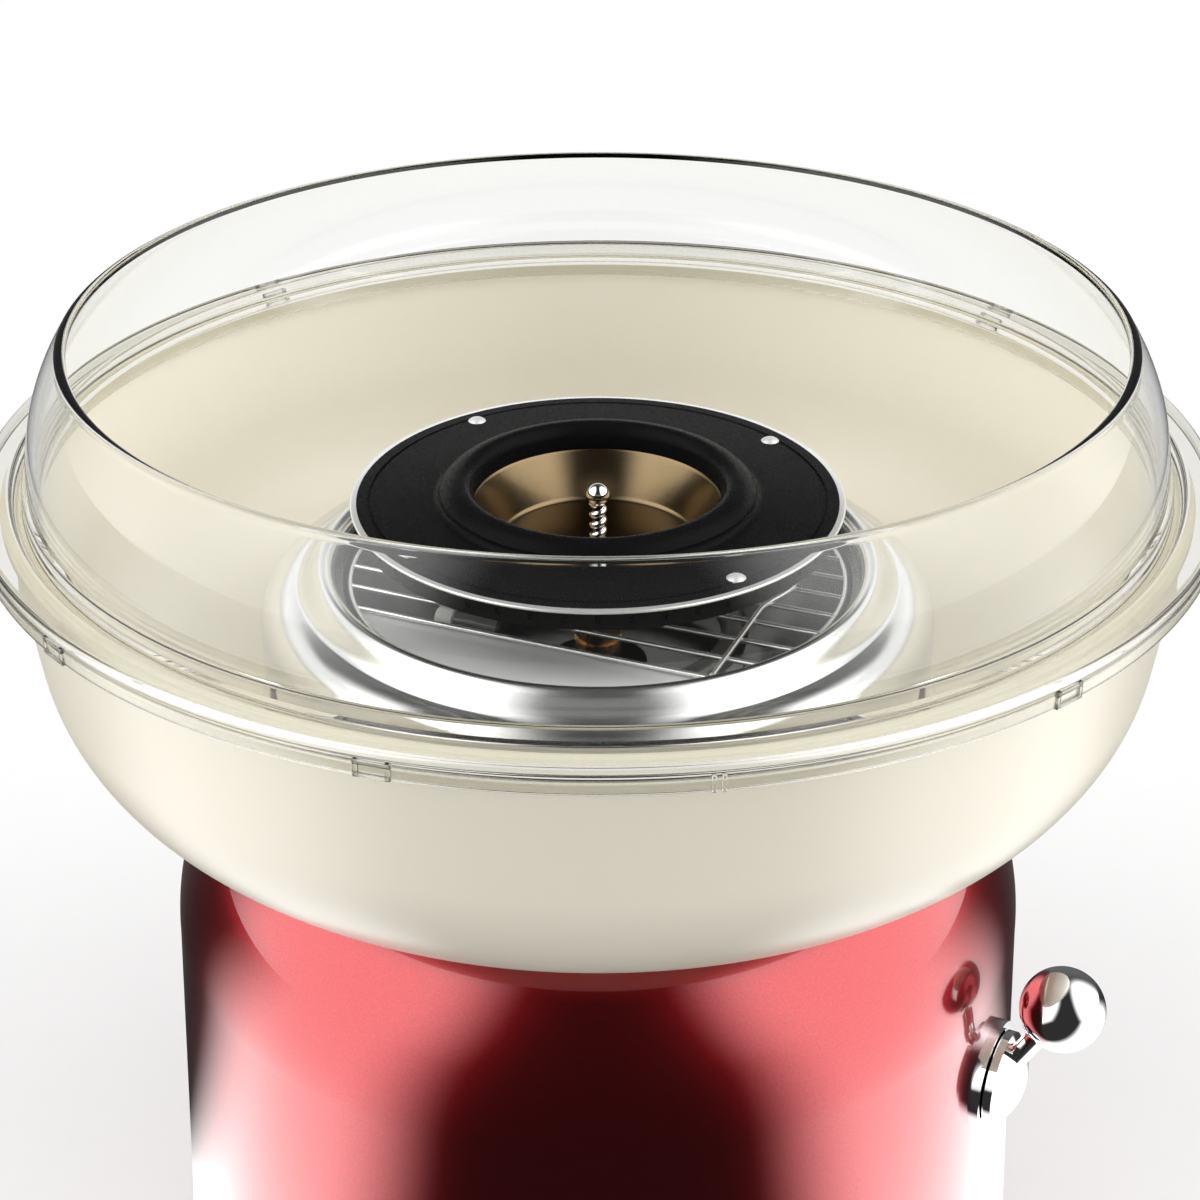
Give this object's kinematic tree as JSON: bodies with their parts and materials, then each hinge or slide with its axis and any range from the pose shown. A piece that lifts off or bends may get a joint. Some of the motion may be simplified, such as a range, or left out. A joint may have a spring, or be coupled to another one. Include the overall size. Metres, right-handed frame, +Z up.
{
  "type": "electric cotton candy machine",
  "caption": "Table-top cotton candy maker: round bowl with a clear rim guard on a drum-shaped base, spinning heated head in a polished reflector, and a ball-tipped lever switch",
  "frame": {"origin": "On the table, under the middle of the base, at the centre of the underside of the whole machine", "axes": "+Z up along the spindle; +Y to the back, where the cord gland is; +X to the right, the lever's side"},
  "size_m": [0.282, 0.282, 0.2541],
  "materials": {
    "body_red": "moulded drum in deep metallic red lacquer, high gloss",
    "black_plastic": "fine matt",
    "screw_steel": "zinc plated",
    "foot_rubber": "matt",
    "block_plastic": "plain",
    "lead_sleeve": "glass-silicone sleeving",
    "lever_chrome": "mirror chrome plate",
    "polished_aluminium": "polished spun sheet",
    "heater_sheath": "oxidised nickel-chrome sheath",
    "ceramic": "white steatite ceramic",
    "wire_zinc": "dull zinc-plated wire",
    "motor_steel": "zinc-plated pressed steel",
    "magnet": "sintered ferrite",
    "bearing_bronze": "sintered bronze",
    "shaft_steel": "ground",
    "armature_iron": "laminations and windings",
    "collar_brass": "turned",
    "head_black": "satin black heat-proof coating",
    "head_bright": "polished",
    "cup_gold": "satin gold anodised",
    "bowl_cream": "smooth moulded, warm cream",
    "guard_clear": "clear moulded, faint green-grey edge"
  },
  "bodies": {
    "base": {"housing": "body_red", "bottom_cover": "black_plastic", "switch_body": "black_plastic", "motor_end_cap": "black_plastic", "bottom_screws": "screw_steel", "reflector_screws": "screw_steel", "motor_screws": "screw_steel", "pan_bolts": "screw_steel", "pan_posts": "screw_steel", "suction_foot_1": "foot_rubber", "suction_foot_2": "foot_rubber", "suction_foot_3": "foot_rubber", "suction_foot_4": "foot_rubber", "cord_gland": "foot_rubber", "motor_grommets": "foot_rubber", "terminal_block": "block_plastic", "switch_lead": "lead_sleeve", "motor_lead": "lead_sleeve", "heater_lead": "lead_sleeve", "lever_plate": "lever_chrome", "reflector": "polished_aluminium", "burner_pan": "polished_aluminium", "heater_ring": "heater_sheath", "heater_bushes": "ceramic", "heater_supports": "ceramic", "thermal_fuse": "ceramic", "wire_grille": "wire_zinc", "motor_can": "motor_steel", "motor_bracket": "motor_steel", "motor_magnets": "magnet", "motor_bushes": "bearing_bronze"},
    "spindle": {"motor_shaft": "shaft_steel", "armature": "armature_iron", "cooling_fan": "black_plastic", "drive_collar": "collar_brass", "drive_pin": "screw_steel"},
    "head": {"head_top": "head_black", "head_rim": "head_bright", "spinneret_band": "head_black", "head_pan": "head_black", "head_cup": "cup_gold", "head_hub": "shaft_steel", "centre_post": "head_bright", "head_rivets": "head_bright"},
    "lever": {"switch_shaft": "shaft_steel", "lever_hub": "lever_chrome", "lever_rod": "lever_chrome", "lever_ball": "lever_chrome"},
    "bowl": {"bowl": "bowl_cream"},
    "guard": {"rim_guard": "guard_clear"}
  },
  "joints": [
    {"name": "spindle_spin", "type": "hinge", "parent": "base", "child": "spindle", "pos_m": [0, 0, 0.1], "axis": [0, 0, 1], "continuous": true},
    {"name": "head_lift", "type": "slide", "parent": "spindle", "child": "head", "axis": [0, 0, 1], "range_m": [0, 0.08]},
    {"name": "lever_turn", "type": "hinge", "parent": "base", "child": "lever", "pos_m": [0.0968, -0.04932, 0.077], "axis": [0.891, -0.454, 0], "range_deg": [0, 50]},
    {"name": "bowl_lift", "type": "slide", "parent": "base", "child": "bowl", "axis": [0, 0, 1], "range_m": [0, 0.08]},
    {"name": "guard_lift", "type": "slide", "parent": "bowl", "child": "guard", "axis": [0, 0, 1], "range_m": [0, 0.05]}
  ]
}
